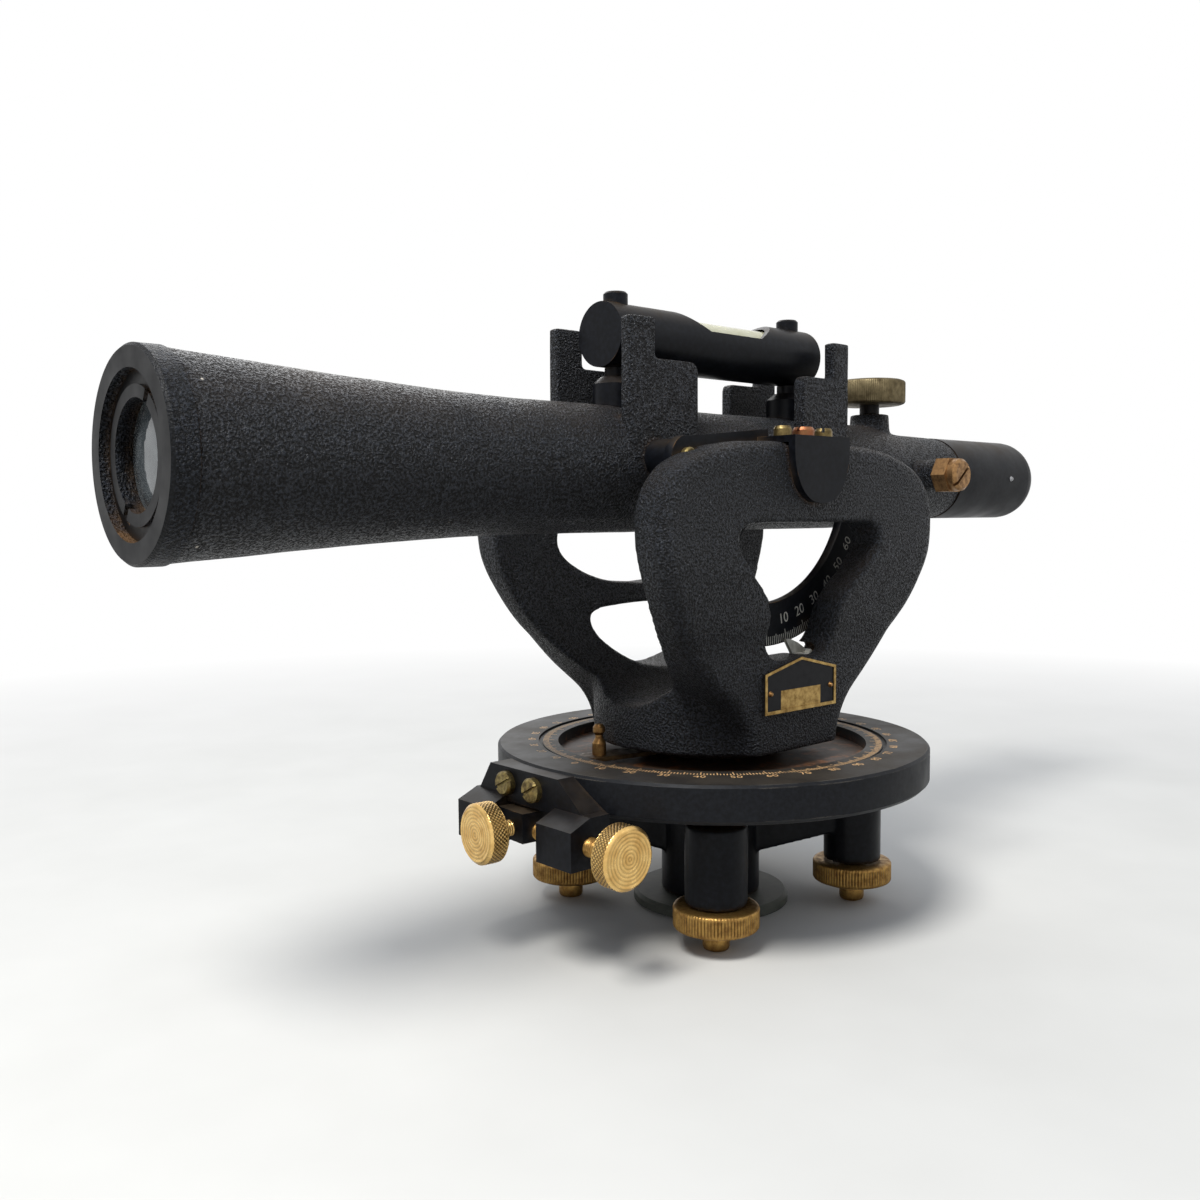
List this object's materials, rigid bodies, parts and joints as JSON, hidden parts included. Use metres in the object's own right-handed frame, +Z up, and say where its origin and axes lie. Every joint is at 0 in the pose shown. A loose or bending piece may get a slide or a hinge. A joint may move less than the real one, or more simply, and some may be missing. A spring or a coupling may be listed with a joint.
{
  "type": "transit level",
  "caption": "Transit level with a tilting black telescope on U-shaped standards, a horizontal circle, tangent screw and four leveling screws.",
  "frame": {"origin": "on the vertical axis, level with the feet of the four leveling screws", "axes": "+X from objective to eyepiece along the level telescope, +Y away from the standard with the name plate, +Z up along the vertical axis"},
  "size_m": [0.373, 0.14, 0.1936],
  "materials": {
    "wrinkle_enamel": "wrinkle",
    "satin_enamel": "satin",
    "bright_brass": "turned",
    "aged_brass": "tarnished",
    "steel": "turned",
    "grey_paint": "satin",
    "white_enamel": "satin",
    "optical_glass": "polished",
    "vial_glass": "polished"
  },
  "bodies": {
    "head": {"leveling_head": "satin_enamel", "foot_plate": "grey_paint"},
    "clamp": {"clamp_arm": "satin_enamel", "clamp_pin": "steel"},
    "clamp_knob": {"clamp_screw": "bright_brass"},
    "circle": {"horizontal_circle": "satin_enamel", "tangent_bracket": "satin_enamel", "bracket_screws": "aged_brass", "plunger_plug": "aged_brass", "plunger_spring": "steel"},
    "tangent_stem": {"tangent_stem": "bright_brass"},
    "tangent_knob": {"tangent_knob": "bright_brass"},
    "plunger": {"spring_plunger": "steel"},
    "alidade": {"standards": "wrinkle_enamel", "spindle": "steel", "spindle_screws": "steel", "index_plate": "aged_brass", "index_post": "aged_brass", "name_plate": "aged_brass", "name_plate_pins": "aged_brass", "trunnion_bushes": "aged_brass", "trunnion_cap_near": "satin_enamel", "trunnion_cap_far": "satin_enamel", "cap_screws": "aged_brass", "lock_arm": "satin_enamel", "arc_index": "white_enamel", "arc_index_screw": "white_enamel"},
    "lock": {"lock_screw": "aged_brass", "lock_pad": "satin_enamel"},
    "telescope": {"telescope_tube": "wrinkle_enamel", "trunnions": "steel", "objective_cell": "satin_enamel", "objective_lens": "optical_glass", "lens_ring": "satin_enamel", "vertical_arc": "satin_enamel", "arc_screws": "steel", "crosshair_ring": "aged_brass", "crosshair_nuts": "aged_brass", "crosshair_screws": "aged_brass", "level_tube": "satin_enamel", "level_glass": "vial_glass", "level_studs": "steel", "level_top_nuts": "satin_enamel", "level_low_nuts": "satin_enamel"},
    "focus": {"focus_knob": "aged_brass", "focus_shaft": "steel"},
    "focus_slide": {"focus_slide": "aged_brass", "focus_rack": "aged_brass", "focus_lens": "optical_glass"},
    "eyepiece": {"eyepiece_sleeve": "satin_enamel", "eyepiece_lens": "optical_glass", "eyepiece_pin": "steel"},
    "level_screw_1": {"leveling_screw_1": "aged_brass"},
    "level_screw_2": {"leveling_screw_2": "aged_brass"},
    "level_screw_3": {"leveling_screw_3": "aged_brass"},
    "level_screw_4": {"leveling_screw_4": "aged_brass"}
  },
  "joints": [
    {"name": "level_screw_1_turn", "type": "hinge", "parent": "head", "child": "level_screw_1", "pos_m": [0.03302, 0.03302, 0.01], "axis": [0, 0, 1], "range_deg": [-720, 720]},
    {"name": "level_screw_2_turn", "type": "hinge", "parent": "head", "child": "level_screw_2", "pos_m": [-0.03302, 0.03302, 0.01], "axis": [0, 0, 1], "range_deg": [-720, 720]},
    {"name": "level_screw_3_turn", "type": "hinge", "parent": "head", "child": "level_screw_3", "pos_m": [-0.03302, -0.03302, 0.01], "axis": [0, 0, 1], "range_deg": [-720, 720]},
    {"name": "level_screw_4_turn", "type": "hinge", "parent": "head", "child": "level_screw_4", "pos_m": [0.03302, -0.03302, 0.01], "axis": [0, 0, 1], "range_deg": [-720, 720]},
    {"name": "clamp_turn", "type": "hinge", "parent": "head", "child": "clamp", "pos_m": [0, 0, 0.039], "axis": [0, 0, 1], "continuous": true},
    {"name": "clamp_screw_turn", "type": "hinge", "parent": "clamp", "child": "clamp_knob", "pos_m": [-0.07913, 0.00526, 0.0371], "axis": [-0.9978, 0.0663, 0], "range_deg": [0, 270]},
    {"name": "slow_motion", "type": "hinge", "parent": "clamp", "child": "circle", "pos_m": [0, 0, 0.048], "axis": [0, 0, 1], "range_deg": [-4.8, 0.3]},
    {"name": "tangent_travel", "type": "slide", "parent": "circle", "child": "tangent_stem", "axis": [0, 1, 0], "range_m": [-0.0065, 0.0007]},
    {"name": "tangent_turn", "type": "hinge", "parent": "tangent_stem", "child": "tangent_knob", "pos_m": [-0.075, -0.035, 0.0371], "axis": [0, 1, 0], "range_deg": [-2900, 260]},
    {"name": "plunger_travel", "type": "slide", "parent": "circle", "child": "plunger", "axis": [0, 1, 0], "range_m": [-0.0065, 0.0007], "deforming": ["plunger_spring"]},
    {"name": "alidade_turn", "type": "hinge", "parent": "circle", "child": "alidade", "pos_m": [0, 0, 0.054], "axis": [0, 0, 1], "continuous": true},
    {"name": "lock_turn", "type": "hinge", "parent": "alidade", "child": "lock", "pos_m": [-0.043, -0.031, 0.1435], "axis": [0, -1, 0], "range_deg": [0, 180]},
    {"name": "tilt", "type": "hinge", "parent": "alidade", "child": "telescope", "pos_m": [0, 0, 0.141], "axis": [0, 1, 0], "range_deg": [-35, 35]},
    {"name": "focus_travel", "type": "slide", "parent": "telescope", "child": "focus_slide", "axis": [1, 0, 0], "range_m": [-0.00628, 0.00628]},
    {"name": "focus_turn", "type": "hinge", "parent": "telescope", "child": "focus", "pos_m": [0.087, 0, 0.16], "axis": [0, 0, 1], "range_deg": [-120, 120]},
    {"name": "eyepiece_turn", "type": "hinge", "parent": "telescope", "child": "eyepiece", "pos_m": [0.15, 0, 0.141], "axis": [1, 0, 0], "range_deg": [-90, 90]}
  ],
  "couplings": [
    {"joint": "tangent_travel", "follows": "slow_motion", "m_per_rad": 0.075},
    {"joint": "tangent_turn", "follows": "slow_motion", "ratio": 589.05},
    {"joint": "plunger_travel", "follows": "slow_motion", "m_per_rad": 0.075},
    {"joint": "focus_turn", "follows": "focus_travel", "rad_per_m": -333.33}
  ]
}
